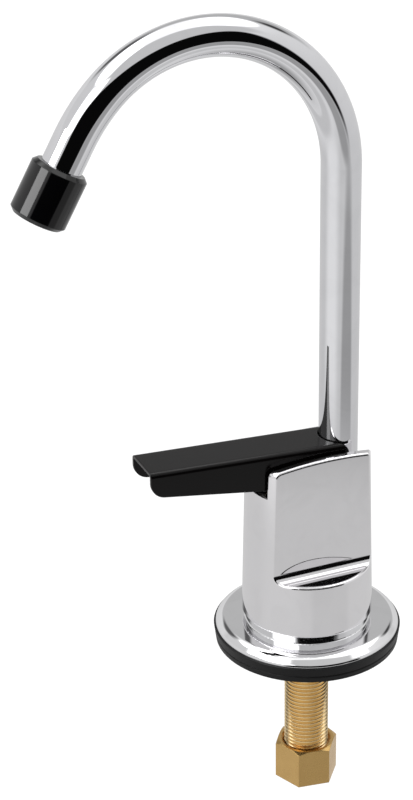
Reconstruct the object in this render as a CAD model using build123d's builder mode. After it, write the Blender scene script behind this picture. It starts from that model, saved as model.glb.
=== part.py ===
from build123d import *
from math import cos, pi, radians, sin, sqrt, tan
import os

os.makedirs("parts", exist_ok=True)

# Drinking water faucet with a swivelling gooseneck and a press lever.
# Millimetres, +Z up. The origin is the middle of the gasket's underside, where it meets the deck.
# The lever points along -Y and the gooseneck reaches the same way.

# Gooseneck tube
tube_d = 9.525
tube_wall = 0.9
tube_ahead_of_back = 8.05
straight_height = 123.8
rise_radius = 35.8
rise_angle = 47.2
crown_radius = 33.1
crown_angle = 88.6
fall_radius = 44.5
fall_angle = 15.0
outlet_straight = 6.4

# Black tip on the outlet
tip_d = 13.2
tip_length = 13.0
tip_grip = 8.0
tip_edge = 0.9
outlet_d = 6.8
straightener_height = 2.2
vane_thickness = 0.6
vane_count = 3

# Base: gasket and chrome flange
gasket_height = 3.8
gasket_past_flange = 0.45
gasket_draw_in = 0.5
gasket_hole_d = 17.6
gasket_web = 2.2
gasket_groove_z = 1.5
gasket_groove_width = 0.5
gasket_groove_depth = 0.25
flange_height = 4.6
flange_d = 45.4
flange_wall = 1.3
flange_rim_seat = 3.2
flange_floor_at_neck = 2.42
flange_floor_at_bevel = 2.25
flange_bevel_run = 1.8
flange_edge_height = 0.75
flange_shoulder_round = 2.3
flange_edge_round = 0.8
flange_web = 2.0
neck_recess = 0.7
neck_fillet = 0.3
spigot_height = 1.4
spigot_wall = 1.1

# Body
body_d = 32.3
body_taper = 1.36
body_height = 44.4
body_edge = 0.3
crown_radius_top = 95.0
crown_peak_back = 1.9
ear_front_corner = 1.5
ear_back_corner = 0.7
across_flats = 17.7
flat_edge = 0.6
ledge_height = 13.8
ledge_rise = 1.5
ledge_corner = 2.0
slot_width = 13.6
slot_depth = 8.4
core_height = 6.4
core_wall = 2.0
boss_wall = 3.0

# Threaded shank and its nut
shank_d = 11.11
shank_below_deck = 37.5
shank_in_body = 8.4
shank_bore_d = 5.4
shank_collar_d = 15.0
shank_collar_height = 2.0
shank_chamfer = 0.5
thread_pitch = 1.058
thread_depth = 0.65
thread_crest = 0.17
supply_tube_d = 6.35
supply_pocket = 8.0
supply_fit = 0.08
mouth_cone = 1.2
nut_across_flats = 14.0
nut_height = 10.2
nut_top_below_deck = 31.0
nut_turn = 21.75
nut_mouth = 0.7
nut_corner_cut = 1.1
nut_corner_drop = 1.32
nut_floor = 1.6
sleeve_wall = 1.0

# Valve
valve_ahead_of_tube = 11.6
inlet_height = 2.0
inlet_d = 10.0
seat_d = 6.8
seat_height = 2.8
seat_lip_height = 0.4
seat_lip_d = 4.6
seat_lip_wall = 0.5
seat_bore_d = 2.8
chamber_d = 7.0
disc_d = 5.2
disc_height = 1.2
disc_in_cup = 1.0
stem_d = 4.0
stem_collar_d = 6.0
stem_collar_height = 1.2
stem_above_link = 1.8
stem_end_cut = 0.5
screw_d = 1.6
screw_head_d = 2.6
screw_head_height = 0.6
screw_length = 3.6
spring_wire_d = 0.5
spring_d = 5.2
spring_turns = 7
washer_height = 0.6
gland_d = 8.4
gland_length = 8.0
gland_head_d = 9.4
gland_head_height = 2.0
gland_across_flats = 8.2
stem_ring_section = 1.3
small_ring_section = 0.7
ring_groove_extra = 0.2

# Spout socket
fitting_d = 11.4
fitting_length = 15.5
fitting_grip = 5.5
fitting_bore_d = 6.0
fitting_below_floor = 2.0
spout_ring_section = 1.2
spout_ring_spacing = 2.8
first_spout_ring = 1.7
retaining_groove_above = 8.7
retaining_groove_depth = 1.1
retaining_groove_width = 2.4
passage_d = 3.6
pocket_d = 9.0
pocket_below_passage = 0.5
bushing_above_floor = 0.8
set_screw_d = 3.0
set_screw_point_d = 1.8
set_screw_key = 1.5
set_screw_recess = 0.3
set_screw_key_depth = 1.4

# Lever
lever_width = 11.8
lever_sheet = 0.8
lever_bend = 1.2
lever_rise = 3.14
lever_ahead = 42.9
lever_behind_tube = 0.1
lever_above_pivot = 5.9
lever_eye = 3.2
flange_front_depth = 6.15
flange_front_corner = 4.0
arm_depth = 5.0
arm_corner = 2.6
pivot_ahead_of_stem = 6.5
pivot_above_floor = 5.0
pivot_pin_d = 2.4
pivot_pin_in_ear = 1.4
pivot_pin_recess = 0.3
link_pin_d = 1.6
link_slot_extra = 0.4
press_angle = 11.0

# Fits
thread_fit = 0.03
running_fit = 0.05
loose_fit = 0.2
seal_fit = 0.02
lever_gap = 0.32

# Levels and radii that follow from the sizes above
tube_r = tube_d / 2
tube_y = body_d / 2 - tube_ahead_of_back
valve_y = tube_y - valve_ahead_of_tube
body_bottom = gasket_height + flange_height
ear_top = body_bottom + body_height
slot_floor = ear_top - slot_depth
ledge_z = body_bottom + ledge_height
web_bottom = body_bottom - flange_web
body_r = body_d / 2
flat_x = across_flats / 2
core_r = body_r - core_wall
shank_r = shank_d / 2
shank_bore_r = shank_r + thread_fit
shank_bottom = -shank_below_deck
shank_top = body_bottom + shank_in_body
inlet_top = shank_top + inlet_height
seat_top = inlet_top + seat_height
disc_bottom = seat_top + seat_lip_height + seal_fit
collar_bottom = disc_bottom + disc_height
collar_top = collar_bottom + stem_collar_height
seat_hole_r = seat_d / 2 + seal_fit
gland_hole_r = gland_d / 2 + thread_fit
gland_bottom = slot_floor - gland_length
stem_r = stem_d / 2
fitting_r = fitting_d / 2
socket_r = fitting_r + running_fit
fitting_top = slot_floor - fitting_below_floor
fitting_bottom = fitting_top - fitting_length
tube_bottom = fitting_top - fitting_grip
grip_r = tube_r + seal_fit
retaining_z = fitting_bottom + retaining_groove_above
pocket_bottom = collar_top - passage_d / 2 - pocket_below_passage
pivot_y = valve_y - pivot_ahead_of_stem
pivot_z = slot_floor + pivot_above_floor
lever_inner = lever_width / 2 - lever_sheet
valve_lift = pivot_ahead_of_stem * radians(press_angle)
supply_r = supply_tube_d / 2 + supply_fit
nut_top = -nut_top_below_deck
nut_bottom = nut_top - nut_height


def body_radius(z):
    return body_r - (z - body_bottom) * tan(radians(body_taper))


def lever_top(y):
    return pivot_z + lever_above_pivot - (y - pivot_y) * tan(radians(lever_rise))


def turned(outline, y=0):
    """Turns a closed outline of (radius, height) points about the upright axis at y."""
    with BuildPart() as piece:
        with BuildSketch(Plane(origin=(0, y, 0), x_dir=(1, 0, 0), z_dir=(0, -1, 0))):
            with BuildLine():
                Polyline(*outline, close=True)
            make_face()
        revolve(axis=Axis((0, y, 0), (0, 0, 1)))
    return piece.part


def seal_ring(inner_r, section, z, y=0):
    """A round-section rubber ring about the upright axis at y."""
    with BuildPart() as piece:
        with Locations((0, y, z)):
            Torus(inner_r + section / 2, section / 2)
    return piece.part


def bore(radius, low, high, y=0):
    """Takes an upright round hole out of the part being built."""
    with Locations((0, y, low)):
        Cylinder(radius, high - low, align=(Align.CENTER, Align.CENTER, Align.MIN), mode=Mode.SUBTRACT)


def cross_hole(radius, start, direction, length):
    """Takes a round hole out of the part being built, from start along direction."""
    with Locations(Plane(origin=start, z_dir=direction)):
        Cylinder(radius, length, align=(Align.CENTER, Align.CENTER, Align.MIN), mode=Mode.SUBTRACT)


def write(piece, name):
    piece.label = name
    export_step(piece, f"parts/{name}.step")


# Gooseneck: straight up, three arcs of falling tightness, and a short straight to the tip
with BuildPart() as spout_tube:
    with BuildLine(Plane.YZ) as route:
        upright = Line((tube_y, tube_bottom), (tube_y, straight_height))
        rise = JernArc(upright @ 1, upright % 1, rise_radius, rise_angle)
        crown = JernArc(rise @ 1, rise % 1, crown_radius, crown_angle)
        fall = JernArc(crown @ 1, crown % 1, fall_radius, fall_angle)
        outlet_run = Line(fall @ 1, fall @ 1 + (fall % 1) * (outlet_straight + tip_grip))
    with BuildSketch(Plane(origin=(0, tube_y, tube_bottom), z_dir=(0, 0, 1))):
        Circle(tube_r)
        Circle(tube_r - tube_wall, mode=Mode.SUBTRACT)
    sweep(path=route.line)
write(spout_tube.part, "spout_tube")

# The outlet's own axis, from the tip's rim outwards
flow = outlet_run % 1
tip_rim = (outlet_run @ 1) - flow * tip_grip
outlet_axis = Axis(tip_rim, flow)
outlet_plane = Plane(origin=tip_rim, x_dir=(1, 0, 0), z_dir=Vector(1, 0, 0).cross(flow))
tip_cavity = tip_grip + straightener_height

with BuildPart() as spout_tip:
    with BuildSketch(outlet_plane):
        with BuildLine():
            Polyline(
                (grip_r, 0),
                (tip_d / 2 - tip_edge, 0),
                (tip_d / 2, tip_edge),
                (tip_d / 2, tip_length - tip_edge),
                (tip_d / 2 - tip_edge, tip_length),
                (outlet_d / 2, tip_length),
                (outlet_d / 2, tip_cavity + seal_fit),
                (grip_r, tip_cavity + seal_fit),
                close=True,
            )
        make_face()
    revolve(axis=outlet_axis)
write(spout_tip.part, "spout_tip")

# Flow straightener: a ring with crossing vanes between the tube's end and the tip's floor
with BuildPart() as flow_straightener:
    with BuildSketch(Plane(origin=tip_rim + flow * (tip_grip + seal_fit), z_dir=flow)):
        Circle(tube_r)
        Circle(outlet_d / 2, mode=Mode.SUBTRACT)
        for turn in range(vane_count):
            Rectangle(tube_d - vane_thickness, vane_thickness, rotation=180 * turn / vane_count)
    extrude(amount=straightener_height - seal_fit)
write(flow_straightener.part, "flow_straightener")

# Gasket: a rubber ring with a thin inner web, its side flaring towards the top and grooved all round
rim_seat_r = flange_d / 2 - flange_rim_seat
gasket_top_r = flange_d / 2 + gasket_past_flange


def gasket_radius(z):
    return gasket_top_r - gasket_draw_in * (1 - z / gasket_height)


groove_low = gasket_groove_z - gasket_groove_width / 2
groove_high = gasket_groove_z + gasket_groove_width / 2
base_gasket = turned(
    [
        (gasket_hole_d / 2, 0),
        (gasket_radius(0), 0),
        (gasket_radius(groove_low), groove_low),
        (gasket_radius(gasket_groove_z) - gasket_groove_depth, gasket_groove_z),
        (gasket_radius(groove_high), groove_high),
        (gasket_top_r, gasket_height),
        (rim_seat_r, gasket_height),
        (rim_seat_r, gasket_web),
        (gasket_hole_d / 2, gasket_web),
    ]
)
write(base_gasket, "base_gasket")

# Flange: upright neck, almost level floor and bevelled rim, hollow underneath, with a web for the body
rim_r = flange_d / 2
neck_r = body_r - neck_recess
neck_foot = (neck_r, gasket_height + flange_floor_at_neck)
shoulder = (rim_r - flange_bevel_run, gasket_height + flange_floor_at_bevel)
rim_edge = (rim_r, gasket_height + flange_edge_height)
underside = shoulder[1] - flange_wall
spigot_r = core_r - running_fit
with BuildPart() as escutcheon:
    with BuildSketch(Plane.XZ) as flange_section:
        with BuildLine():
            Polyline(
                (rim_r, gasket_height),
                (rim_seat_r - running_fit, gasket_height),
                (rim_seat_r - running_fit, underside),
                (neck_r - flange_wall, underside),
                (neck_r - flange_wall, web_bottom),
                (shank_bore_r, web_bottom),
                (shank_bore_r, body_bottom),
                (spigot_r - spigot_wall, body_bottom),
                (spigot_r - spigot_wall, body_bottom + spigot_height),
                (spigot_r, body_bottom + spigot_height),
                (spigot_r, body_bottom),
                (neck_r, body_bottom),
                neck_foot,
                shoulder,
                rim_edge,
                close=True,
            )
        make_face()
        for corner, rounding in (
            (neck_foot, neck_fillet),
            (shoulder, flange_shoulder_round),
            (rim_edge, flange_edge_round),
        ):
            fillet(flange_section.vertices().sort_by_distance(corner)[0], rounding)
    revolve(axis=Axis.Z)
write(escutcheon.part, "escutcheon")

# Body: a tapered casting with a crowned top, two flats with dished ledges and the lever's slot
with BuildPart() as faucet_body:
    with BuildSketch(Plane.XZ):
        with BuildLine():
            Polyline(
                (0, body_bottom),
                (body_r, body_bottom),
                (body_radius(ear_top + slot_depth), ear_top + slot_depth),
                (0, ear_top + slot_depth),
                close=True,
            )
        make_face()
    revolve(axis=Axis.Z)
    with BuildSketch(Plane.YZ):
        with Locations((0, ear_top + slot_depth / 2)):
            Rectangle(2 * body_d, 2 * slot_depth)
        with Locations((crown_peak_back, ear_top - crown_radius_top)):
            Circle(crown_radius_top, mode=Mode.SUBTRACT)
    extrude(amount=body_d, both=True, mode=Mode.SUBTRACT)
    fillet(faucet_body.faces().sort_by(Axis.Z)[0].edges(), body_edge)

    # Flats, each down to a ledge that rises a little outwards
    ledge_run = body_d / 2
    ledge_out = (flat_x + ledge_run, ledge_z + ledge_run * tan(radians(ledge_rise)))
    with BuildSketch(Plane.XZ) as flat_cut:
        with BuildLine():
            Polyline(
                (flat_x, ledge_z),
                (flat_x, 2 * ear_top),
                (ledge_out[0], 2 * ear_top),
                ledge_out,
                close=True,
            )
        make_face()
        fillet(flat_cut.vertices().sort_by_distance((flat_x, ledge_z))[0], ledge_corner)
        mirror(about=Plane.YZ)
    extrude(amount=body_d, both=True, mode=Mode.SUBTRACT)

    # Slot for the lever and the tube, open at the front and the back
    with BuildSketch(Plane.XY.offset(slot_floor)):
        Rectangle(slot_width, 2 * body_d)
    extrude(amount=2 * slot_depth, mode=Mode.SUBTRACT)

    # The ears' upper corners, then each flat's outline, which is one smooth loop that rounds all at once
    ear_middle = (slot_width / 2 + flat_x) / 2
    for side in (-1, 1):
        for end, corner in ((-1, ear_front_corner), (1, ear_back_corner)):
            ear_end = end * sqrt(body_radius(ear_top) ** 2 - ear_middle**2)
            crown_drop = (ear_end - crown_peak_back) ** 2 / (2 * crown_radius_top)
            upper_edge = (side * ear_middle, ear_end, ear_top - crown_drop)
            fillet(faucet_body.edges().sort_by_distance(upper_edge)[0], corner)
    for side in (-1, 1):
        on_ledge = (side * body_r * cos(pi / 4), body_r * sin(pi / 4), ledge_z)
        fillet(faucet_body.edges().sort_by_distance(on_ledge)[0], flat_edge)

    # Ring-shaped core from below, closed by the flange's web
    with BuildSketch(Plane.XY.offset(body_bottom)):
        Circle(core_r)
        Circle(shank_r + boss_wall, mode=Mode.SUBTRACT)
    extrude(amount=core_height, mode=Mode.SUBTRACT)

    # Waterway: shank thread, inlet, seat, valve chamber, gland thread, passage and spout socket
    bore(shank_bore_r, body_bottom, shank_top)
    bore(inlet_d / 2, shank_top, inlet_top)
    bore(seat_hole_r, inlet_top, seat_top, valve_y)
    bore(chamber_d / 2, seat_top, gland_bottom, valve_y)
    bore(gland_hole_r, gland_bottom, slot_floor, valve_y)
    bore(pocket_d / 2, pocket_bottom, fitting_bottom, tube_y)
    bore(socket_r, fitting_bottom, 2 * ear_top, tube_y)
    cross_hole(passage_d / 2, (0, valve_y, collar_top), (0, 1, 0), tube_y - valve_y)

    # Pivot pin's holes, right through the far ear and blind in the near one
    pin_end = slot_width / 2 + pivot_pin_in_ear
    cross_hole(pivot_pin_d / 2 + seal_fit, (pin_end, pivot_y, pivot_z), (-1, 0, 0), pin_end + body_r)
    cross_hole(set_screw_d / 2 + thread_fit, (0, tube_y, retaining_z), (0, 1, 0), body_r)
write(faucet_body.part, "faucet_body")


def thread_grooves(low, high):
    """Outline points of the shank's thread, drawn as level grooves at its pitch, from low to high."""
    points = []
    for turn in range(int((high - low) / thread_pitch)):
        start = low + turn * thread_pitch
        points += [
            (shank_r, start + thread_crest),
            (shank_r - thread_depth, start + (thread_crest + thread_pitch) / 2),
            (shank_r, start + thread_pitch),
        ]
    return points


# Shank: hollow threaded pipe, its hexagon collar under the flange's web, a cone mouth at its lower end
ring_groove = small_ring_section + ring_groove_extra
shank_ring_z = shank_top - ring_groove
shank_ring_r = shank_bore_r - seal_fit - small_ring_section
mouth_top = shank_bottom + mouth_cone
pocket_top = shank_bottom + supply_pocket
with BuildPart() as threaded_shank:
    with BuildSketch(Plane.XZ):
        with BuildLine():
            Polyline(
                (shank_bore_d / 2, shank_top),
                (shank_bore_d / 2, pocket_top),
                (supply_r, pocket_top),
                (supply_r, mouth_top),
                (supply_r + mouth_cone, shank_bottom),
                (shank_r - shank_chamfer, shank_bottom),
                (shank_r, shank_bottom + shank_chamfer),
                *thread_grooves(shank_bottom + shank_chamfer, web_bottom - shank_collar_height),
                *thread_grooves(web_bottom, shank_ring_z - ring_groove / 2),
                (shank_r, shank_ring_z - ring_groove / 2),
                (shank_ring_r - seal_fit, shank_ring_z - ring_groove / 2),
                (shank_ring_r - seal_fit, shank_ring_z + ring_groove / 2),
                (shank_r, shank_ring_z + ring_groove / 2),
                (shank_r, shank_top),
                close=True,
            )
        make_face()
    revolve(axis=Axis.Z)
    with BuildSketch(Plane.XY.offset(web_bottom - shank_collar_height)):
        RegularPolygon(shank_collar_d / 2, 6)
        Circle(shank_r - thread_fit, mode=Mode.SUBTRACT)
    extrude(amount=shank_collar_height)
write(threaded_shank.part, "threaded_shank")
write(seal_ring(shank_ring_r, small_ring_section, shank_ring_z), "shank_o_ring")

# Nut: hexagon with its upper corners turned off, thread above, cone and tube hole below
cone_run = shank_r - supply_r - sleeve_wall / 4
cone_bottom = nut_bottom + nut_floor
corner_r = nut_across_flats / sqrt(3)
with BuildPart() as compression_nut:
    with BuildSketch(Plane.XY.offset(nut_bottom)):
        RegularPolygon(nut_across_flats / 2, 6, major_radius=False, rotation=nut_turn)
    extrude(amount=nut_height)
    with BuildSketch(Plane.XZ):
        with BuildLine():
            Polyline(
                (corner_r - nut_corner_cut, nut_top),
                (corner_r + nut_corner_cut, nut_top),
                (corner_r + nut_corner_cut, nut_top - nut_corner_drop),
                close=True,
            )
        make_face()
    revolve(axis=Axis.Z, mode=Mode.SUBTRACT)
    with BuildSketch(Plane.XZ):
        with BuildLine():
            Polyline(
                (0, nut_bottom),
                (supply_r, nut_bottom),
                (supply_r, cone_bottom),
                (supply_r + cone_run, cone_bottom + cone_run),
                (shank_bore_r, cone_bottom + cone_run),
                (shank_bore_r, nut_top - nut_mouth),
                (shank_bore_r + nut_mouth, nut_top),
                (0, nut_top),
                close=True,
            )
        make_face()
    revolve(axis=Axis.Z, mode=Mode.SUBTRACT)
write(compression_nut.part, "compression_nut")

# Sleeve between the nut's cone and the shank's mouth, round the supply tube's place
sleeve_bottom = cone_bottom + seal_fit
compression_sleeve = turned(
    [
        (supply_r, sleeve_bottom),
        (supply_r + seal_fit, sleeve_bottom),
        (supply_r + sleeve_wall, sleeve_bottom + sleeve_wall),
        (supply_r + sleeve_wall, shank_bottom + mouth_cone - sleeve_wall - seal_fit),
        (supply_r + seal_fit, shank_bottom + mouth_cone - seal_fit),
        (supply_r, shank_bottom + mouth_cone - seal_fit),
    ]
)
write(compression_sleeve, "compression_sleeve")

# Seat: screwed insert whose raised lip meets the rubber disc
lip_r = seat_lip_d / 2
seat_ring_r = seat_hole_r - seal_fit - small_ring_section
seat_ring_z = inlet_top + seat_height / 2
lip_top = seat_top + seat_lip_height
valve_seat = turned(
    [
        (seat_bore_d / 2, inlet_top),
        (seat_d / 2, inlet_top),
        (seat_d / 2, seat_ring_z - ring_groove / 2),
        (seat_ring_r - seal_fit, seat_ring_z - ring_groove / 2),
        (seat_ring_r - seal_fit, seat_ring_z + ring_groove / 2),
        (seat_d / 2, seat_ring_z + ring_groove / 2),
        (seat_d / 2, seat_top),
        (lip_r, seat_top),
        (lip_r, lip_top),
        (lip_r - seat_lip_wall, lip_top),
        (lip_r - seat_lip_wall, lip_top - screw_head_height - seat_lip_height),
        (seat_bore_d / 2, lip_top - screw_head_height - seat_lip_height),
    ],
    valve_y,
)
write(valve_seat, "valve_seat")
write(seal_ring(seat_ring_r, small_ring_section, seat_ring_z, valve_y), "seat_o_ring")

# Disc and the screw that holds it in the stem's cup
seat_washer = turned(
    [
        (screw_d / 2 + seal_fit, disc_bottom),
        (disc_d / 2, disc_bottom),
        (disc_d / 2, collar_bottom),
        (screw_d / 2 + seal_fit, collar_bottom),
    ],
    valve_y,
)
write(seat_washer, "seat_washer")
washer_screw = turned(
    [
        (0, disc_bottom - screw_head_height),
        (screw_head_d / 2, disc_bottom - screw_head_height),
        (screw_head_d / 2, disc_bottom),
        (screw_d / 2, disc_bottom),
        (screw_d / 2, disc_bottom + screw_length),
        (0, disc_bottom + screw_length),
    ],
    valve_y,
)
write(washer_screw, "washer_screw")

# Stem: cup and collar at the foot, a plain rod, and a slotted eye for the lever's pin
stem_top = pivot_z + stem_above_link
cup_r = disc_d / 2 + seal_fit
screw_hole_top = disc_bottom + screw_length + seal_fit
with BuildPart() as valve_stem:
    with BuildSketch(Plane(origin=(0, valve_y, 0), x_dir=(1, 0, 0), z_dir=(0, -1, 0))):
        with BuildLine():
            Polyline(
                (screw_d / 2 + seal_fit, collar_bottom),
                (cup_r, collar_bottom),
                (cup_r, collar_bottom - disc_in_cup),
                (stem_collar_d / 2, collar_bottom - disc_in_cup),
                (stem_collar_d / 2, collar_top),
                (stem_r, collar_top),
                (stem_r, stem_top - stem_end_cut),
                (stem_r - stem_end_cut, stem_top),
                (0, stem_top),
                (0, screw_hole_top),
                (screw_d / 2 + seal_fit, screw_hole_top),
                close=True,
            )
        make_face()
    revolve(axis=Axis((0, valve_y, 0), (0, 0, 1)))
    with BuildSketch(Plane.YZ):
        with Locations((valve_y, pivot_z)):
            SlotCenterToCenter(link_slot_extra, link_pin_d + 2 * running_fit)
    extrude(amount=stem_d, both=True, mode=Mode.SUBTRACT)
write(valve_stem.part, "valve_stem")

# Gland: screwed guide with a flatted head, the stem's seal in its lower end
washer_top = gland_bottom + washer_height
stem_ring_r = stem_r + seal_fit
gland_cup_r = stem_ring_r + stem_ring_section + seal_fit
gland_cup_top = washer_top + stem_ring_section + ring_groove_extra
gland_ring_r = gland_hole_r - seal_fit - small_ring_section
with BuildPart() as stem_gland:
    with BuildSketch(Plane(origin=(0, valve_y, 0), x_dir=(1, 0, 0), z_dir=(0, -1, 0))):
        with BuildLine():
            Polyline(
                (stem_r + running_fit, gland_cup_top),
                (gland_cup_r, gland_cup_top),
                (gland_cup_r, gland_bottom),
                (gland_d / 2, gland_bottom),
                (gland_d / 2, slot_floor - ring_groove),
                (gland_ring_r - seal_fit, slot_floor - ring_groove),
                (gland_ring_r - seal_fit, slot_floor),
                (gland_head_d / 2, slot_floor),
                (gland_head_d / 2, slot_floor + gland_head_height),
                (stem_r + running_fit, slot_floor + gland_head_height),
                close=True,
            )
        make_face()
    revolve(axis=Axis((0, valve_y, 0), (0, 0, 1)))
    with BuildSketch(Plane.XY.offset(slot_floor + seal_fit)):
        with Locations((0, valve_y)):
            Rectangle(2 * gland_head_d, 2 * gland_head_d)
            Rectangle(2 * gland_head_d, gland_across_flats, mode=Mode.SUBTRACT)
    extrude(amount=gland_head_height, mode=Mode.SUBTRACT)
write(stem_gland.part, "stem_gland")
write(seal_ring(gland_ring_r, small_ring_section, slot_floor - ring_groove / 2, valve_y), "gland_o_ring")
stem_ring_z = washer_top + (stem_ring_section + ring_groove_extra) / 2
write(seal_ring(stem_ring_r, stem_ring_section, stem_ring_z, valve_y), "stem_o_ring")
spring_washer = turned(
    [
        (stem_r + loose_fit, gland_bottom),
        (gland_cup_r - seal_fit, gland_bottom),
        (gland_cup_r - seal_fit, washer_top),
        (stem_r + loose_fit, washer_top),
    ],
    valve_y,
)
write(spring_washer, "spring_washer")

# Spring: one wire wound from quarter turns, each made of two tangent arcs
spring_low = collar_top + spring_wire_d / 2 + seal_fit
spring_high = gland_bottom - spring_wire_d / 2 - seal_fit
quarters = 4 * spring_turns
climb = (spring_high - spring_low) / quarters


def spring_point(step):
    turn = step * pi / 2
    return Vector(spring_d / 2 * cos(turn), valve_y + spring_d / 2 * sin(turn), spring_low + step * climb)


def spring_heading(step):
    turn = step * pi / 2
    across = spring_d / 2 * pi / 2
    return Vector(-across * sin(turn), across * cos(turn), climb).normalized()


def meeting_point(start, start_heading, end, end_heading):
    """The point where two equal-reach tangent arcs from start and to end meet."""
    gap = end - start
    spread = 2 * (1 - start_heading.dot(end_heading))
    along = gap.dot(start_heading + end_heading)
    reach = (sqrt(along**2 + spread * gap.dot(gap)) - along) / spread
    return (start + start_heading * reach + end - end_heading * reach) / 2


with BuildPart() as return_spring:
    with BuildLine() as wire_path:
        for quarter in range(quarters):
            start, end = spring_point(quarter), spring_point(quarter + 1)
            middle = meeting_point(start, spring_heading(quarter), end, spring_heading(quarter + 1))
            first = TangentArc(start, middle, tangent=spring_heading(quarter))
            TangentArc(middle, end, tangent=first % 1)
    with BuildSketch(Plane(origin=spring_point(0), z_dir=spring_heading(0))):
        Circle(spring_wire_d / 2)
    sweep(path=wire_path.line)
write(return_spring.part, "return_spring")
print("spring: least gap between turns", round(4 * climb - spring_wire_d, 2), "mm")
print("valve: lift at the lever's full press", round(valve_lift, 2), "mm")

# Fitting on the tube's lower end: two seal grooves, a groove for the set screw, and the tube's socket
spout_ring_r = socket_r - seal_fit - spout_ring_section
spout_groove = spout_ring_section + ring_groove_extra
lower_ring_z = fitting_bottom + first_spout_ring
spout_ring_levels = (lower_ring_z, lower_ring_z + spout_ring_spacing)
fitting_outline = [(fitting_bore_d / 2, fitting_bottom), (fitting_r, fitting_bottom)]
grooves = [(level, spout_groove, spout_ring_r - seal_fit) for level in spout_ring_levels]
grooves.append((retaining_z, retaining_groove_width, fitting_r - retaining_groove_depth))
for level, width, floor_r in grooves:
    fitting_outline += [
        (fitting_r, level - width / 2),
        (floor_r, level - width / 2),
        (floor_r, level + width / 2),
        (fitting_r, level + width / 2),
    ]
fitting_outline += [
    (fitting_r, fitting_top),
    (grip_r, fitting_top),
    (grip_r, tube_bottom),
    (fitting_bore_d / 2, tube_bottom),
]
write(turned(fitting_outline, tube_y), "spout_end_fitting")
with BuildPart() as spout_o_rings:
    for level in spout_ring_levels:
        with Locations((0, tube_y, level)):
            Torus(spout_ring_r + spout_ring_section / 2, spout_ring_section / 2)
write(spout_o_rings.part, "spout_o_rings")

# Bushing that guides the tube at the socket's mouth
spout_bushing = turned(
    [
        (tube_r + running_fit, fitting_top + running_fit),
        (socket_r - seal_fit, fitting_top + running_fit),
        (socket_r - seal_fit, slot_floor + bushing_above_floor),
        (tube_r + running_fit, slot_floor + bushing_above_floor),
    ],
    tube_y,
)
write(spout_bushing, "spout_bushing")

# Set screw in the body's back, its point in the fitting's groove
point_start = tube_y + fitting_r - retaining_groove_depth + loose_fit
thread_start = tube_y + socket_r + running_fit
screw_back = body_radius(retaining_z) - set_screw_recess
with BuildPart() as spout_set_screw:
    with BuildSketch(Plane(origin=(0, point_start, retaining_z), z_dir=(0, 1, 0))):
        Circle(set_screw_point_d / 2)
    extrude(amount=screw_back - point_start)
    with BuildSketch(Plane(origin=(0, thread_start, retaining_z), z_dir=(0, 1, 0))):
        Circle(set_screw_d / 2)
    extrude(amount=screw_back - thread_start)
    with BuildSketch(Plane(origin=(0, screw_back, retaining_z), z_dir=(0, -1, 0))):
        RegularPolygon(set_screw_key / 2, 6, major_radius=False)
    extrude(amount=set_screw_key_depth, mode=Mode.SUBTRACT)
write(spout_set_screw.part, "spout_set_screw")

# Lever: stamped channel along a slightly rising line, forked round the tube
tilt = radians(lever_rise)
lever_start = Plane(
    origin=(0, -lever_ahead - lever_sheet, lever_top(-lever_ahead - lever_sheet)),
    x_dir=(1, 0, 0),
    z_dir=(0, cos(tilt), -sin(tilt)),
)
lever_end = tube_y + lever_behind_tube
lever_side = 3 * lever_above_pivot
eye_bottom = pivot_z - lever_eye
with BuildPart() as lever:
    with BuildSketch(lever_start):
        with BuildSketch(mode=Mode.PRIVATE) as sheet_outside:
            Rectangle(lever_width, lever_side, align=(Align.CENTER, Align.MIN))
            fillet(sheet_outside.vertices().group_by(Axis.Y)[0], lever_bend)
        add(sheet_outside.sketch)
        with BuildSketch(mode=Mode.PRIVATE) as sheet_inside:
            with Locations((0, lever_sheet)):
                Rectangle(2 * lever_inner, lever_side, align=(Align.CENTER, Align.MIN))
            fillet(sheet_inside.vertices().group_by(Axis.Y)[0], lever_bend - lever_sheet)
        add(sheet_inside.sketch, mode=Mode.SUBTRACT)
    extrude(amount=(lever_end + lever_ahead) / cos(tilt) + 2 * lever_sheet)
    with BuildSketch(Plane.YZ) as side_view:
        with BuildLine():
            Polyline(
                (-lever_ahead, lever_top(-lever_ahead)),
                (lever_end, lever_top(lever_end)),
                (lever_end, lever_top(lever_end) - arm_depth),
                (valve_y + 2 * lever_eye, lever_top(lever_end) - arm_depth),
                (pivot_y + lever_eye, eye_bottom),
                (pivot_y - lever_eye, eye_bottom),
                (-lever_ahead, lever_top(-lever_ahead) - flange_front_depth),
                close=True,
            )
        make_face()
        corners = side_view.vertices()
        fillet(corners.sort_by_distance((-lever_ahead, eye_bottom))[0], flange_front_corner)
        corners = side_view.vertices()
        fillet(corners.sort_by_distance((lever_end, 2 * ear_top))[0], arm_corner)
    extrude(amount=lever_width, both=True, mode=Mode.INTERSECT)
    bore(tube_r + lever_gap, eye_bottom, 2 * pivot_z, tube_y)
    cross_hole(pivot_pin_d / 2 + running_fit, (-lever_width, pivot_y, pivot_z), (1, 0, 0), 2 * lever_width)
    cross_hole(link_pin_d / 2 + seal_fit, (-lever_width, valve_y, pivot_z), (1, 0, 0), 2 * lever_width)
write(lever.part, "lever")

# Pins: the lever's pivot, pushed in from the far ear, and the link to the stem
far_end = -flat_x + pivot_pin_recess
with BuildPart() as lever_pivot_pin:
    with Locations(Plane(origin=(far_end, pivot_y, pivot_z), z_dir=(1, 0, 0))):
        Cylinder(
            pivot_pin_d / 2,
            pin_end - seal_fit - far_end,
            align=(Align.CENTER, Align.CENTER, Align.MIN),
        )
write(lever_pivot_pin.part, "lever_pivot_pin")
with BuildPart() as stem_link_pin:
    with Locations(Plane(origin=(0, valve_y, pivot_z), z_dir=(1, 0, 0))):
        Cylinder(link_pin_d / 2, lever_width)
write(stem_link_pin.part, "stem_link_pin")
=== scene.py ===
from math import cos, radians, sin, tau

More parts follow.
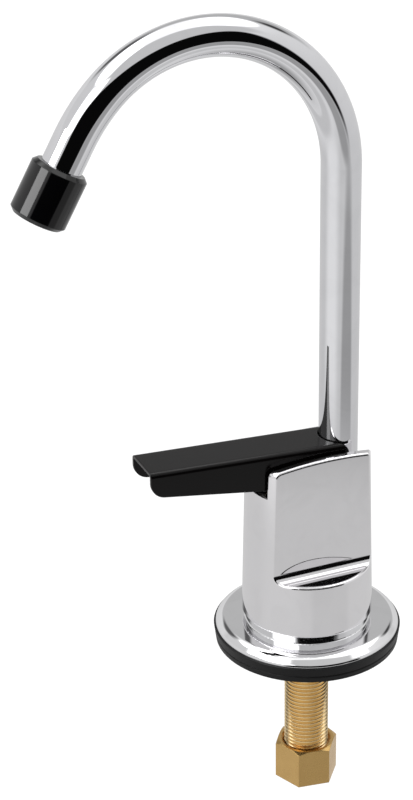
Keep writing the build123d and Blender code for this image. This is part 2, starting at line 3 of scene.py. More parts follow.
import bmesh
import bpy
from mathutils import Matrix, Vector


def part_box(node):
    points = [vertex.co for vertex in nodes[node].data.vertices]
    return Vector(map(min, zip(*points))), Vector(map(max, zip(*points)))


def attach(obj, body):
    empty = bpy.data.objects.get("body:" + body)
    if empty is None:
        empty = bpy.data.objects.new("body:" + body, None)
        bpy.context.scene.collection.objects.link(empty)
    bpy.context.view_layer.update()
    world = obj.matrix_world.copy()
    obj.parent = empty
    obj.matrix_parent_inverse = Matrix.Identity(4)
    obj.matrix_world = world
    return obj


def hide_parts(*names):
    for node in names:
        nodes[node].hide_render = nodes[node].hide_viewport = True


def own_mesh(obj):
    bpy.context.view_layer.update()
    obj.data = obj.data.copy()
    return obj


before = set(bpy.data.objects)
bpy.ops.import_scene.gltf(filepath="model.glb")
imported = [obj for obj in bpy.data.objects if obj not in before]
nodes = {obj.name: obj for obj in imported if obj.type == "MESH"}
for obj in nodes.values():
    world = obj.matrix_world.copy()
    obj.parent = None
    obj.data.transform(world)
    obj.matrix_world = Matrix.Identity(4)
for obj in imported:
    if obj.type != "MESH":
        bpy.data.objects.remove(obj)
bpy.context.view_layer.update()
scene = bpy.context.scene
MM = 0.001


# Node helpers
def feed(tree, socket, value):
    """Links a node's output to the socket, or sets the socket to a plain value."""
    if isinstance(value, bpy.types.NodeSocket):
        tree.links.new(value, socket)
    else:
        socket.default_value = value


def add(tree, kind, inputs=None, **settings):
    """Adds one shader node, sets its choices, and links or sets its inputs."""
    made = tree.nodes.new(kind)
    for name, value in settings.items():
        setattr(made, name, value)
    for name, value in (inputs or {}).items():
        feed(tree, made.inputs[name], value)
    return made


def maths(tree, operation, *values):
    return add(tree, "ShaderNodeMath", dict(enumerate(values)), operation=operation).outputs[0]


def blend_values(tree, factor, low, high):
    made = add(tree, "ShaderNodeMix", {"Factor": factor, "A": low, "B": high}, data_type="FLOAT")
    return made.outputs[0]


def blend_colours(tree, factor, first, second):
    made = tree.nodes.new("ShaderNodeMix")
    made.data_type = "RGBA"
    for name, value in (("Factor_Float", factor), ("A_Color", first), ("B_Color", second)):
        feed(tree, next(s for s in made.inputs if s.identifier == name), value)
    return next(s for s in made.outputs if s.identifier == "Result_Color")


def smooth_fade(tree, value, start, end, first=0.0, last=1.0):
    """Goes smoothly from first to last while the given value goes from start to end."""
    inputs = {"Value": value, "From Min": start, "From Max": end, "To Min": first, "To Max": last}
    return add(tree, "ShaderNodeMapRange", inputs, interpolation_type="SMOOTHSTEP").outputs[0]


def start_group(name, inputs, outputs):
    """An empty shader node group with named value inputs and outputs."""
    group = bpy.data.node_groups.new(name, "ShaderNodeTree")
    for label, value in inputs.items():
        socket = group.interface.new_socket(name=label, in_out="INPUT", socket_type="NodeSocketFloat")
        socket.default_value = value
    for label in outputs:
        group.interface.new_socket(name=label, in_out="OUTPUT", socket_type="NodeSocketFloat")
    given = group.nodes.new("NodeGroupInput").outputs
    result = group.nodes.new("NodeGroupOutput").inputs
    return group, given, result


def place_group(tree, group, **inputs):
    """Puts a node group in a tree. An underscore in an input's name stands for a space."""
    made = tree.nodes.new("ShaderNodeGroup")
    made.node_tree = group
    for label, value in inputs.items():
        feed(tree, made.inputs[label.replace("_", " ")], value)
    return made.outputs


def place_in_millimetres(tree):
    """The point's place in the frame, in millimetres, for textures whose sizes are in millimetres."""
    place = add(tree, "ShaderNodeTexCoord").outputs["Object"]
    return add(tree, "ShaderNodeVectorMath", {0: place, "Scale": 1 / MM}, operation="SCALE").outputs[0]


# Effects that several finishes share
haze_weight = 0.7
speck_weight = 0.3


def polish_group():
    """Slow waves and faint wipe marks that a polished plated surface keeps."""
    inputs = {"Wave size": 12.0, "Least roughness": 0.03, "Most roughness": 0.07}
    group, given, result = start_group("polish", inputs, ("Height", "Roughness", "Haze"))
    millimetres = place_in_millimetres(group)
    wave_scale = maths(group, "DIVIDE", 1.0, given["Wave size"])
    waves = add(group, "ShaderNodeTexNoise", {"Vector": millimetres, "Scale": wave_scale, "Detail": 1.0})
    wipe_look = {"Vector": millimetres, "Scale": 0.12, "Detail": 5.0, "Distortion": 1.2}
    wipes = add(group, "ShaderNodeTexNoise", wipe_look)
    specks = add(group, "ShaderNodeTexNoise", {"Vector": millimetres, "Scale": 3.0, "Detail": 3.0})
    haze = smooth_fade(group, wipes.outputs[0], start=0.38, end=0.72)
    fine = maths(group, "MULTIPLY", specks.outputs[0], speck_weight)
    share = maths(group, "ADD", maths(group, "MULTIPLY", haze, haze_weight), fine)
    rough = blend_values(group, share, given["Least roughness"], given["Most roughness"])
    group.links.new(waves.outputs[0], result["Height"])
    group.links.new(rough, result["Roughness"])
    group.links.new(haze, result["Haze"])
    return group


def grain_group():
    """Fine moulded or sprayed grain, with soft patches where it is smoother."""
    inputs = {"Grain size": 0.35, "Least roughness": 0.3, "Most roughness": 0.45}
    group, given, result = start_group("fine_grain", inputs, ("Height", "Roughness", "Patches"))
    millimetres = place_in_millimetres(group)
    grain_scale = maths(group, "DIVIDE", 1.0, given["Grain size"])
    grain = add(group, "ShaderNodeTexNoise", {"Vector": millimetres, "Scale": grain_scale, "Detail": 2.0})
    patches = add(group, "ShaderNodeTexNoise", {"Vector": millimetres, "Scale": 0.15, "Detail": 3.0})
    rough = blend_values(group, patches.outputs[0], given["Least roughness"], given["Most roughness"])
    group.links.new(grain.outputs[0], result["Height"])
    group.links.new(rough, result["Roughness"])
    group.links.new(patches.outputs[0], result["Patches"])
    return group


def turning_group():
    """Rings that a lathe tool leaves about the upright axis."""
    inputs = {"Ring spacing": 0.12, "Least roughness": 0.2, "Most roughness": 0.34}
    group, given, result = start_group("turning_marks", inputs, ("Height", "Roughness", "Tarnish"))
    millimetres = place_in_millimetres(group)
    parts = add(group, "ShaderNodeSeparateXYZ", {0: millimetres}).outputs
    squares = [maths(group, "POWER", parts[axis], 2.0) for axis in (0, 1)]
    across = maths(group, "SQRT", maths(group, "ADD", *squares))
    along = maths(group, "ADD", parts[2], across)
    step = maths(group, "DIVIDE", along, given["Ring spacing"])
    rings = add(group, "ShaderNodeTexNoise", {"W": step, "Scale": 1.0, "Detail": 2.0}, noise_dimensions="1D")
    tarnish = add(group, "ShaderNodeTexNoise", {"Vector": millimetres, "Scale": 0.35, "Detail": 5.0})
    rough = blend_values(group, tarnish.outputs[0], given["Least roughness"], given["Most roughness"])
    group.links.new(rings.outputs[0], result["Height"])
    group.links.new(rough, result["Roughness"])
    group.links.new(tarnish.outputs[0], result["Tarnish"])
    return group


POLISH = polish_group()
GRAIN = grain_group()
TURNING = turning_group()


# Finishes
edge_samples = 6


def start_finish(name):
    finish = bpy.data.materials.new(name)
    finish.use_nodes = True
    tree = finish.node_tree
    surface = next(n for n in tree.nodes if n.type == "BSDF_PRINCIPLED")
    return finish, tree, surface


def set_bump(tree, surface, height, depth, edge):
    """Feeds a height to the surface's normal, over an edge rounded by the given radius."""
    inputs = {"Height": height, "Distance": depth, "Strength": 1.0}
    if edge:
        inputs["Normal"] = add(tree, "ShaderNodeBevel", {"Radius": edge}, samples=edge_samples).outputs[0]
    bump = add(tree, "ShaderNodeBump", inputs)
    tree.links.new(bump.outputs[0], surface.inputs["Normal"])


def chrome(name, bright, hazy, wave_size, wave_height, least, most, edge=0.0):
    """Plated metal: bright and nearly mirror smooth, with polish waves and faint haze."""
    finish, tree, surface = start_finish(name)
    marks = place_group(tree, POLISH, Wave_size=wave_size, Least_roughness=least, Most_roughness=most)
    tree.links.new(blend_colours(tree, marks["Haze"], bright, hazy), surface.inputs["Base Color"])
    tree.links.new(marks["Roughness"], surface.inputs["Roughness"])
    surface.inputs["Metallic"].default_value = 1.0
    set_bump(tree, surface, marks["Height"], wave_height, edge)
    return finish


def moulded(name, base, patch, grain_size, grain_depth, least, most, gloss=0.5, edge=0.0):
    """Plastic, rubber or paint with a fine grain and smoother patches."""
    finish, tree, surface = start_finish(name)
    marks = place_group(tree, GRAIN, Grain_size=grain_size, Least_roughness=least, Most_roughness=most)
    tree.links.new(blend_colours(tree, marks["Patches"], base, patch), surface.inputs["Base Color"])
    tree.links.new(marks["Roughness"], surface.inputs["Roughness"])
    surface.inputs["Specular IOR Level"].default_value = gloss
    set_bump(tree, surface, marks["Height"], grain_depth, edge)
    return finish


def turned_metal(name, base, dull, spacing, depth, least, most, edge=0.0):
    """Machined metal with lathe rings and a slight uneven tarnish."""
    finish, tree, surface = start_finish(name)
    marks = place_group(tree, TURNING, Ring_spacing=spacing, Least_roughness=least, Most_roughness=most)
    tree.links.new(blend_colours(tree, marks["Tarnish"], base, dull), surface.inputs["Base Color"])
    tree.links.new(marks["Roughness"], surface.inputs["Roughness"])
    surface.inputs["Metallic"].default_value = 1.0
    set_bump(tree, surface, marks["Height"], depth, edge)
    return finish


finishes = {
    "tube_chrome": chrome(
        "tube_chrome",
        bright=(0.775, 0.775, 0.795, 1),
        hazy=(0.75, 0.75, 0.77, 1),
        wave_size=9.0,
        wave_height=0.003 * MM,
        least=0.02,
        most=0.045,
    ),
    "body_chrome": chrome(
        "body_chrome",
        bright=(0.875, 0.865, 0.88, 1),
        hazy=(0.85, 0.84, 0.855, 1),
        wave_size=7.0,
        wave_height=0.004 * MM,
        least=0.03,
        most=0.06,
        edge=0.3 * MM,
    ),
    "flange_chrome": chrome(
        "flange_chrome",
        bright=(0.82, 0.82, 0.83, 1),
        hazy=(0.79, 0.79, 0.80, 1),
        wave_size=8.0,
        wave_height=0.003 * MM,
        least=0.03,
        most=0.05,
        edge=0.1 * MM,
    ),
    "black_tip": moulded(
        "black_tip",
        base=(0.001, 0.001, 0.0012, 1),
        patch=(0.002, 0.002, 0.0023, 1),
        grain_size=0.2,
        grain_depth=0.001 * MM,
        least=0.05,
        most=0.08,
        gloss=0.5,
        edge=0.25 * MM,
    ),
    "black_lever": moulded(
        "black_lever",
        base=(0.0018, 0.0014, 0.0014, 1),
        patch=(0.003, 0.0023, 0.0023, 1),
        grain_size=0.4,
        grain_depth=0.002 * MM,
        least=0.14,
        most=0.20,
        gloss=0.22,
        edge=0.35 * MM,
    ),
    "gasket_rubber": moulded(
        "gasket_rubber",
        base=(0.003, 0.003, 0.0033, 1),
        patch=(0.006, 0.006, 0.0065, 1),
        grain_size=0.3,
        grain_depth=0.010 * MM,
        least=0.4,
        most=0.5,
        gloss=0.22,
        edge=0.15 * MM,
    ),
    "seal_rubber": moulded(
        "seal_rubber",
        base=(0.010, 0.010, 0.010, 1),
        patch=(0.015, 0.015, 0.015, 1),
        grain_size=0.2,
        grain_depth=0.006 * MM,
        least=0.4,
        most=0.55,
    ),
    "shank_brass": turned_metal(
        "shank_brass",
        base=(0.95, 0.74, 0.42, 1),
        dull=(0.84, 0.62, 0.33, 1),
        spacing=0.3,
        depth=0.004 * MM,
        least=0.18,
        most=0.28,
    ),
    "nut_brass": turned_metal(
        "nut_brass",
        base=(0.64, 0.42, 0.16, 1),
        dull=(0.54, 0.34, 0.125, 1),
        spacing=0.12,
        depth=0.003 * MM,
        least=0.22,
        most=0.32,
        edge=0.2 * MM,
    ),
    "inner_brass": turned_metal(
        "inner_brass",
        base=(0.70, 0.47, 0.20, 1),
        dull=(0.58, 0.37, 0.15, 1),
        spacing=0.12,
        depth=0.006 * MM,
        least=0.2,
        most=0.32,
    ),
    "steel": turned_metal(
        "steel",
        base=(0.56, 0.55, 0.53, 1),
        dull=(0.48, 0.47, 0.46, 1),
        spacing=0.1,
        depth=0.004 * MM,
        least=0.22,
        most=0.34,
    ),
    "white_plastic": moulded(
        "white_plastic",
        base=(0.74, 0.73, 0.70, 1),
        patch=(0.68, 0.67, 0.64, 1),
        grain_size=0.3,
        grain_depth=0.004 * MM,
        least=0.32,
        most=0.45,
    ),
}

pieces_by_finish = {
    "tube_chrome": ("spout_tube",),
    "body_chrome": ("faucet_body",),
    "flange_chrome": ("escutcheon",),
    "black_tip": ("spout_tip",),
    "black_lever": ("lever",),
    "gasket_rubber": ("base_gasket",),
    "seal_rubber": (
        "shank_o_ring",
        "seat_o_ring",
        "seat_washer",
        "gland_o_ring",
        "stem_o_ring",
        "spout_o_rings",
    ),
    "shank_brass": ("threaded_shank",),
    "nut_brass": ("compression_nut",),
    "inner_brass": ("compression_sleeve", "valve_seat", "valve_stem", "stem_gland", "spout_end_fitting"),
    "steel": (
        "washer_screw",
        "spring_washer",
        "return_spring",
        "spout_set_screw",
        "lever_pivot_pin",
        "stem_link_pin",
    ),
    "white_plastic": ("flow_straightener", "spout_bushing"),
}
for finish_name, piece_names in pieces_by_finish.items():
    for piece_name in piece_names:
        for material_slot in nodes[piece_name].material_slots:
            material_slot.link = "OBJECT"
            material_slot.material = finishes[finish_name]


# Shank: one helical thread, 24 to the inch, in place of the level grooves of the CAD
inch = 25.4 * MM
threads_per_inch = 24
thread_pitch = inch / threads_per_inch
thread_height = 0.61 * thread_pitch
crest_share = 0.16
root_share = 0.14
flank_share = (1 - crest_share - root_share) / 2
shank_sides = 96
shank_low, shank_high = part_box("threaded_shank")
shank_radius = 5.555 * MM
thread_skin = 0.02 * MM
thread_radius = shank_radius - thread_skin
chamfer = 0.5 * MM
bore_radius = 2.7 * MM
pocket_radius = 3.255 * MM
pocket_height = 8.0 * MM
mouth = 1.2 * MM
collar_radius = 7.5 * MM
collar_bottom = 4.4 * MM
collar_top = 6.4 * MM
collar_sides = 6
collar_under_thread = 0.1 * MM
closest_points = 0.0005 * MM
sharp_from = radians(25)


def thread_depth(turns):
    """How far below the crest the thread is, at a number of turns along it."""
    phase = turns % 1.0
    root_start = crest_share + flank_share
    root_end = root_start + root_share
    if phase < crest_share:
        share = 0.0
    elif phase < root_start:
        share = (phase - crest_share) / flank_share
    elif phase < root_end:
        share = 1.0
    else:
        share = 1 - (phase - root_end) / flank_share
    return share * thread_height


def shank_outside(angle, height):
    turns = (height - shank_low.z) / thread_pitch - angle / tau
    free = thread_radius - thread_depth(turns)
    cut = thread_radius - chamfer + min(height - shank_low.z, shank_high.z - height)
    return min(free, max(cut, thread_radius - thread_height))


def make_threaded_shank():
    """One closed pipe: helical rows outside, joined over both ends to the stepped bore."""
    mesh = bmesh.new()
    root_start = crest_share + flank_share
    marks = (0.0, crest_share, root_start, root_start + root_share)
    turn_count = int((shank_high.z - shank_low.z) / thread_pitch) + 2
    rows = [turn + mark for turn in range(-1, turn_count) for mark in marks]
    inside = (
        (shank_high.z, bore_radius),
        (shank_low.z + pocket_height, bore_radius),
        (shank_low.z + pocket_height, pocket_radius),
        (shank_low.z + mouth, pocket_radius),
        (shank_low.z, pocket_radius + mouth),
    )
    columns = []
    for side in range(shank_sides):
        angle = tau * side / shank_sides
        column = []
        for row in rows:
            height = shank_low.z + (row + angle / tau) * thread_pitch
            height = min(max(height, shank_low.z), shank_high.z)
            radius = shank_outside(angle, height)
            column.append(mesh.verts.new((radius * cos(angle), radius * sin(angle), height)))
        for height, radius in inside:
            column.append(mesh.verts.new((radius * cos(angle), radius * sin(angle), height)))
        columns.append(column)
    outside_count = len(rows)
    shift = len(marks)
    for side in range(shank_sides):
        near, far = columns[side], columns[(side + 1) % shank_sides]
        last = side == shank_sides - 1
        for row in range(outside_count - 1):
            other = row + shift if last else row
            if other + 1 < outside_count:
                mesh.faces.new((near[row], far[other], far[other + 1], near[row + 1]))
        ring = list(range(outside_count - 1, outside_count + len(inside))) + [0]
        for start, end in zip(ring, ring[1:]):
            mesh.faces.new((near[start], far[start], far[end], near[end]))
    bmesh.ops.remove_doubles(mesh, verts=mesh.verts, dist=closest_points)
    bmesh.ops.dissolve_degenerate(mesh, edges=mesh.edges, dist=closest_points)
    bmesh.ops.recalc_face_normals(mesh, faces=mesh.faces)
    return mesh


def add_collar(mesh):
    """The six-sided collar that the shank is tightened by, under the flange."""
    inner_radius = thread_radius - thread_height - collar_under_thread
    rings = (
        (collar_radius, collar_bottom),
        (collar_radius, collar_top),
        (inner_radius, collar_top),
        (inner_radius, collar_bottom),
    )
    columns = []
    for side in range(collar_sides):
        angle = tau * (side + 0.5) / collar_sides
        columns.append([mesh.verts.new((r * cos(angle), r * sin(angle), z)) for r, z in rings])
    for near, far in zip(columns, columns[1:] + columns[:1]):
        for start in range(len(rings)):
            end = (start + 1) % len(rings)
            mesh.faces.new((near[start], far[start], far[end], near[end]))
    bmesh.ops.recalc_face_normals(mesh, faces=mesh.faces)


def finish_piece(mesh, name, body, finish_name, sharp_angle):
    """Turns a built mesh into a piece that rides on its body and takes its finish."""
    data = bpy.data.meshes.new(name)
    mesh.to_mesh(data)
    mesh.free()
    for face in data.polygons:
        face.use_smooth = True
    data.set_sharp_from_angle(angle=sharp_angle)
    piece = bpy.data.objects.new(name, data)
    scene.collection.objects.link(piece)
    data.materials.append(finishes[finish_name])
    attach(piece, body)
    return piece


shank_mesh = make_threaded_shank()
add_collar(shank_mesh)
shank = finish_piece(shank_mesh, "helical_thread_shank", "base", "shank_brass", sharp_from)
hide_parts("threaded_shank")


# Gooseneck: the tube swept in fine steps, so that its reflections run smoothly round the bends
tube_low, tube_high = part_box("spout_tube")
tube_radius = 4.7625 * MM
tube_skin = 0.01 * MM
tube_wall = 0.9 * MM
tube_sides = 96
tube_step = radians(1.0)
straight_top = 123.8 * MM
outlet_length = 14.4 * MM
# The bends in order: radius of the axis, angle
bends = ((35.8 * MM, radians(47.2)), (33.1 * MM, radians(88.6)), (44.5 * MM, radians(15.0)))


def gooseneck_stations():
    """Places along the tube's axis: y, z and how far it leans from upright towards the outlet."""
    y, lean = tube_high.y - tube_radius, 0.0
    stations = [(y, tube_low.z, lean), (y, straight_top, lean)]
    z = straight_top
    for radius, angle in bends:
        count = round(angle / tube_step)
        for step in range(1, count + 1):
            reached = lean + angle * step / count
            ahead = radius * (cos(reached) - cos(lean))
            above = radius * (sin(reached) - sin(lean))
            stations.append((y + ahead, z + above, reached))
        y, z, lean = stations[-1]
    stations.append((y - outlet_length * sin(lean), z + outlet_length * cos(lean), lean))
    return stations


def make_gooseneck():
    """One closed pipe: rings outside from end to end and back through the bore."""
    mesh = bmesh.new()
    stations = gooseneck_stations()
    path = [(station, tube_radius - tube_skin) for station in stations]
    path += [(station, tube_radius - tube_wall) for station in reversed(stations)]
    rings = []
    for (y, z, lean), radius in path:
        ring = []
        for side in range(tube_sides):
            angle = tau * side / tube_sides
            out = radius * sin(angle)
            ring.append(mesh.verts.new((radius * cos(angle), y + out * cos(lean), z + out * sin(lean))))
        rings.append(ring)
    for near, far in zip(rings, rings[1:] + rings[:1]):
        for side in range(tube_sides):
            other = (side + 1) % tube_sides
            mesh.faces.new((near[side], near[other], far[other], far[side]))
    bmesh.ops.recalc_face_normals(mesh, faces=mesh.faces)
    return mesh


gooseneck = finish_piece(make_gooseneck(), "swept_gooseneck", "spout", "tube_chrome", sharp_from)
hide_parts("spout_tube")


# Return spring: one wound wire at an even pitch; in the real faucet the rising stem shortens it towards its
# upper end
spring_low, spring_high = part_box("return_spring")
wire_radius = 0.25 * MM
wire_sides = 12
spring_turns = 7
steps_per_turn = 36
wire_sharp_from = radians(60)


def make_spring():
    """A round wire along a helix, closed at both ends."""
    mesh = bmesh.new()
    coil_radius = (spring_high.x - spring_low.x) / 2 - wire_radius
    middle = (spring_high + spring_low) / 2
    start = spring_low.z + wire_radius
    climb = spring_high.z - wire_radius - start
    count = spring_turns * steps_per_turn
    straight_up = Vector((0, 0, 1))
    rings = []
    for step in range(count + 1):
        angle = tau * step / steps_per_turn
        out = Vector((cos(angle), sin(angle), 0))
        place = Vector((0, middle.y, start + climb * step / count)) + coil_radius * out
        ring = []
        for side in range(wire_sides):
            turn = tau * side / wire_sides
            offset = cos(turn) * out + sin(turn) * straight_up
            ring.append(mesh.verts.new(place + wire_radius * offset))
        rings.append(ring)
    for near, far in zip(rings, rings[1:]):
        for side in range(wire_sides):
            other = (side + 1) % wire_sides
            mesh.faces.new((near[side], near[other], far[other], far[side]))
    mesh.faces.new(rings[0])
    mesh.faces.new(rings[-1])
    bmesh.ops.recalc_face_normals(mesh, faces=mesh.faces)
    return mesh


spring = finish_piece(make_spring(), "wound_spring", "base", "steel", wire_sharp_from)
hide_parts("return_spring")
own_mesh(spring)


# Camera: the photograph's angle, distance and lens
view_turn = radians(22.6922)
view_drop = radians(26.4449)
view_roll = radians(-0.8332)
camera_place = Vector((482.6, -228.0, 330.6)) * MM
lens_length = 112.5
sensor_size = 36.0
nearest_seen = 0.01
farthest_seen = 20.0
sight = -Vector((cos(view_turn) * cos(view_drop), -sin(view_turn) * cos(view_drop), sin(view_drop)))
level_right = sight.cross(Vector((0, 0, 1))).normalized()
level_up = level_right.cross(sight)
right = cos(view_roll) * level_right + sin(view_roll) * level_up
upward = -sin(view_roll) * level_right + cos(view_roll) * level_up
lens = bpy.data.cameras.new("camera")
lens.lens = lens_length
lens.sensor_fit = "VERTICAL"
lens.sensor_height = sensor_size
lens.sensor_width = sensor_size
lens.clip_start = nearest_seen
lens.clip_end = farthest_seen
camera = bpy.data.objects.new("camera", lens)
camera.matrix_world = Matrix((
    (right.x, upward.x, -sight.x, camera_place.x),
    (right.y, upward.y, -sight.y, camera_place.y),
    (right.z, upward.z, -sight.z, camera_place.z),
    (0, 0, 0, 1),
))
scene.collection.objects.link(camera)
scene.camera = camera


# Studio: what the plated metal mirrors, laid out by direction
def card_group():
    """A soft-edged card in the studio: 1 inside it, 0 outside, by the angle from its middle."""
    inputs = {
        "Turn": 0.0,
        "Rise": 0.0,
        "Middle turn": 0.0,
        "Middle rise": 0.0,
        "Half width": 30.0,
        "Half height": 20.0,
        "Lean": 0.0,
        "Softness": 0.3,
        "Squareness": 4.0,
    }
    group, given, result = start_group("studio_card", inputs, ("Mask",))
    up = maths(group, "SUBTRACT", given["Rise"], given["Middle rise"])
    away = maths(group, "SUBTRACT", given["Turn"], given["Middle turn"])
    away = maths(group, "WRAP", away, 180.0, -180.0)
    away = maths(group, "SUBTRACT", away, maths(group, "MULTIPLY", up, given["Lean"]))
    wide = maths(group, "ABSOLUTE", maths(group, "DIVIDE", away, given["Half width"]))
    high = maths(group, "ABSOLUTE", maths(group, "DIVIDE", up, given["Half height"]))
    wide = maths(group, "POWER", wide, given["Squareness"])
    high = maths(group, "POWER", high, given["Squareness"])
    root = maths(group, "DIVIDE", 1.0, given["Squareness"])
    share = maths(group, "POWER", maths(group, "ADD", wide, high), root)
    start = maths(group, "SUBTRACT", 1.0, given["Softness"])
    end = maths(group, "ADD", 1.0, given["Softness"])
    mask = smooth_fade(group, share, start, end, first=1.0, last=0.0)
    group.links.new(mask, result["Mask"])
    return group


# Each card: brightness, middle turn, middle rise, half width, half height, lean, softness, squareness
studio_cards = (
    (2.50, -120, 62, 62, 16, 0.0, 0.10, 4),
    (0.66, 0, 52, 56, 27, -0.35, 0.12, 3),
    (2.20, -66, 32, 26, 13, 0.0, 0.10, 4),
    (0.74, -120, 32, 31, 13, 0.0, 0.12, 4),
    (1.60, 105, 60, 52, 17, 0.0, 0.08, 4),
    (5.00, 112, 65, 20, 7, 0.0, 0.15, 4),
    (0.54, 145, 28, 40, 14, 0.0, 0.20, 4),
    (0.06, 114, 31, 11, 7, 0.0, 0.60, 2),
    (0.12, -166, 35, 17, 11, 0.0, 0.45, 2),
    (0.003, -6, 5.0, 46, 25.5, 0.0, 0.05, 6),
    (0.90, -74, -27, 34, 12, 0.0, 0.55, 2),
    (0.38, 18, -29, 34, 8, 0.0, 0.20, 2),
)
# Brightness by height: rise in degrees, brightness
studio_heights = (
    (-90, 0.32),
    (-76, 0.42),
    (-60, 0.76),
    (-40, 0.82),
    (-27, 0.66),
    (0, 0.76),
    (30, 0.84),
    (44, 0.95),
    (50, 1.30),
    (90, 1.30),
)

world = bpy.data.worlds.new("studio")
scene.world = world
world.use_nodes = True
studio = world.node_tree
studio.nodes.clear()
direction = add(studio, "ShaderNodeTexCoord").outputs["Generated"]
axes = add(studio, "ShaderNodeSeparateXYZ", {0: direction}).outputs
turn = maths(studio, "DEGREES", maths(studio, "ARCTAN2", axes[1], axes[0]))
rise = maths(studio, "DEGREES", maths(studio, "ARCSINE", axes[2]))
height_share = maths(studio, "DIVIDE", maths(studio, "ADD", rise, 90.0), 180.0)
ramp = add(studio, "ShaderNodeValToRGB", {0: height_share})
steps = ramp.color_ramp.elements
for index, (height, bright) in enumerate(studio_heights):
    position = (height + 90) / 180
    step = steps[index] if index < 2 else steps.new(position)
    step.position = position
    step.color = (bright, bright, bright, 1)
light = ramp.outputs[0]
CARD = card_group()
for bright, middle_turn, middle_rise, half_width, half_height, lean, softness, squareness in studio_cards:
    card = place_group(
        studio,
        CARD,
        Turn=turn,
        Rise=rise,
        Middle_turn=middle_turn,
        Middle_rise=middle_rise,
        Half_width=half_width,
        Half_height=half_height,
        Lean=lean,
        Softness=softness,
        Squareness=squareness,
    )
    light = blend_colours(studio, card["Mask"], light, (bright, bright, bright, 1))
white = add(studio, "ShaderNodeBackground", {"Color": (1, 1, 1, 1), "Strength": 1.0})
room = add(studio, "ShaderNodeBackground", {"Color": light, "Strength": 1.0})
seen = add(studio, "ShaderNodeLightPath").outputs["Is Camera Ray"]
either = add(studio, "ShaderNodeMixShader", {0: seen, 1: room.outputs[0], 2: white.outputs[0]})
add(studio, "ShaderNodeOutputWorld", {"Surface": either.outputs[0]})


# Helpers for the objects that stand in the studio
square_corners = ((-1, -1), (1, -1), (1, 1), (-1, 1))
square_faces = [(0, 1, 2, 3)]


def bare_material(name):
    """A material without nodes, and its node tree."""
    made = bpy.data.materials.new(name)
    made.use_nodes = True
    made.node_tree.nodes.clear()
    return made, made.node_tree


def studio_object(name, points, faces, material):
    mesh = bpy.data.meshes.new(name)
    mesh.from_pydata(points, [], faces)
    mesh.materials.append(material)
    made = bpy.data.objects.new(name, mesh)
    scene.collection.objects.link(made)
    return made


def show_in_reflections_only(card):
    card.visible_camera = False
    card.visible_diffuse = False
    card.visible_transmission = False
    card.visible_shadow = False


# Low wall: a pale band round the bench that only the polished surfaces near it mirror
wall_radius = 0.20
wall_low = -0.15
wall_full_from = -0.12
wall_full_to = -0.07
wall_high = -0.02
wall_bright = 0.62
wall_share = 0.85
wall_sides = 96
wall_angles = [tau * side / wall_sides for side in range(wall_sides)]
wall_ring = [(wall_radius * cos(angle), wall_radius * sin(angle)) for angle in wall_angles]
wall_points = [(x, y, z) for z in (wall_low, wall_high) for x, y in wall_ring]
wall_faces = []
for side in range(wall_sides):
    other = (side + 1) % wall_sides
    wall_faces.append((side, other, other + wall_sides, side + wall_sides))
pale_card, pale_tree = bare_material("pale_card")
wall_place = add(pale_tree, "ShaderNodeTexCoord").outputs["Object"]
wall_height = add(pale_tree, "ShaderNodeSeparateXYZ", {0: wall_place}).outputs[2]
top_fade = smooth_fade(pale_tree, wall_height, wall_full_to, wall_high, first=wall_share, last=0.0)
low_fade = smooth_fade(pale_tree, wall_height, wall_low, wall_full_from)
wall_cover = maths(pale_tree, "MULTIPLY", top_fade, low_fade)
clear = add(pale_tree, "ShaderNodeBsdfTransparent")
pale = add(pale_tree, "ShaderNodeEmission", {"Color": (1, 1, 1, 1), "Strength": wall_bright})
cover = add(pale_tree, "ShaderNodeMixShader", {0: wall_cover, 1: clear.outputs[0], 2: pale.outputs[0]})
add(pale_tree, "ShaderNodeOutputMaterial", {"Surface": cover.outputs[0]})
wall = studio_object("low_wall", wall_points, wall_faces, pale_card)
show_in_reflections_only(wall)

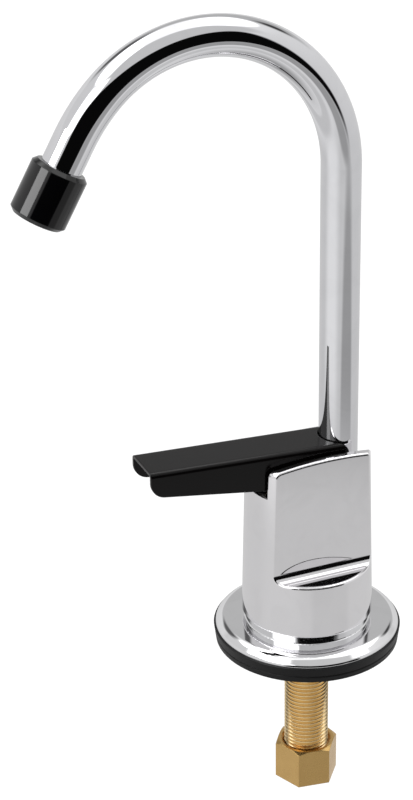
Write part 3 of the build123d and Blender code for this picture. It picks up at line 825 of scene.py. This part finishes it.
# Tip card: a small bright card in front of the tip, which gives it the stripe along its side
tip_low, tip_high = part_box("spout_tip")
tip_middle = (tip_low + tip_high) / 2
tip_card_turn = radians(-80)
tip_card_rise = radians(20)
tip_card_away = 0.12
tip_card_bright = 6.0
tip_card_half_width = 0.036
tip_card_half_height = 0.026
towards_card = Vector((
    cos(tip_card_turn) * cos(tip_card_rise),
    sin(tip_card_turn) * cos(tip_card_rise),
    sin(tip_card_rise),
))
card_middle = tip_middle + tip_card_away * towards_card
card_side = tip_card_half_width * Vector((-sin(tip_card_turn), cos(tip_card_turn), 0))
card_up = tip_card_half_height * towards_card.cross(card_side).normalized()
card_corners = [card_middle + x * card_side + z * card_up for x, z in square_corners]
bright_card, bright_tree = bare_material("bright_card")
bright_glow = add(bright_tree, "ShaderNodeEmission", {"Color": (1, 1, 1, 1), "Strength": tip_card_bright})
add(bright_tree, "ShaderNodeOutputMaterial", {"Surface": bright_glow.outputs[0]})
tip_card = studio_object("tip_card", card_corners, square_faces, bright_card)
show_in_reflections_only(tip_card)

# Floor: white to the camera, with the soft shadow that the object throws on it
floor_drop = 0.35
floor_half = 6.0
shadow_share = 0.3
floor_corners = [(x * floor_half, y * floor_half, -floor_drop) for x, y in square_corners]
floor_white, paper = bare_material("floor_white")
glow = add(paper, "ShaderNodeEmission", {"Color": (1, 1, 1, 1), "Strength": 1 - shadow_share})
matt = add(paper, "ShaderNodeBsdfDiffuse", {"Color": (shadow_share, shadow_share, shadow_share, 1)})
both = add(paper, "ShaderNodeAddShader", {0: glow.outputs[0], 1: matt.outputs[0]})
add(paper, "ShaderNodeOutputMaterial", {"Surface": both.outputs[0]})
floor = studio_object("floor", floor_corners, square_faces, floor_white)
floor.visible_diffuse = False
floor.visible_glossy = False
floor.visible_transmission = False
floor.visible_shadow = False


# Lamps: one broad soft lamp over the object and one from the side, seen by matt surfaces only
lamp_target = Vector((0, 0, 0.06))


def soft_lamp(name, place, size, power):
    data = bpy.data.lights.new(name, "AREA")
    data.shape = "DISK"
    data.size = size
    data.energy = power
    lamp = bpy.data.objects.new(name, data)
    lamp.location = place
    lamp.rotation_euler = (lamp_target - Vector(place)).to_track_quat("-Z", "Y").to_euler()
    lamp.visible_glossy = False
    scene.collection.objects.link(lamp)


soft_lamp("top_lamp", place=(0.3, -0.9, 1.5), size=1.2, power=6.0)
soft_lamp("side_lamp", place=(-0.4, -1.2, 0.7), size=0.9, power=2.0)

scene.view_settings.view_transform = "Standard"
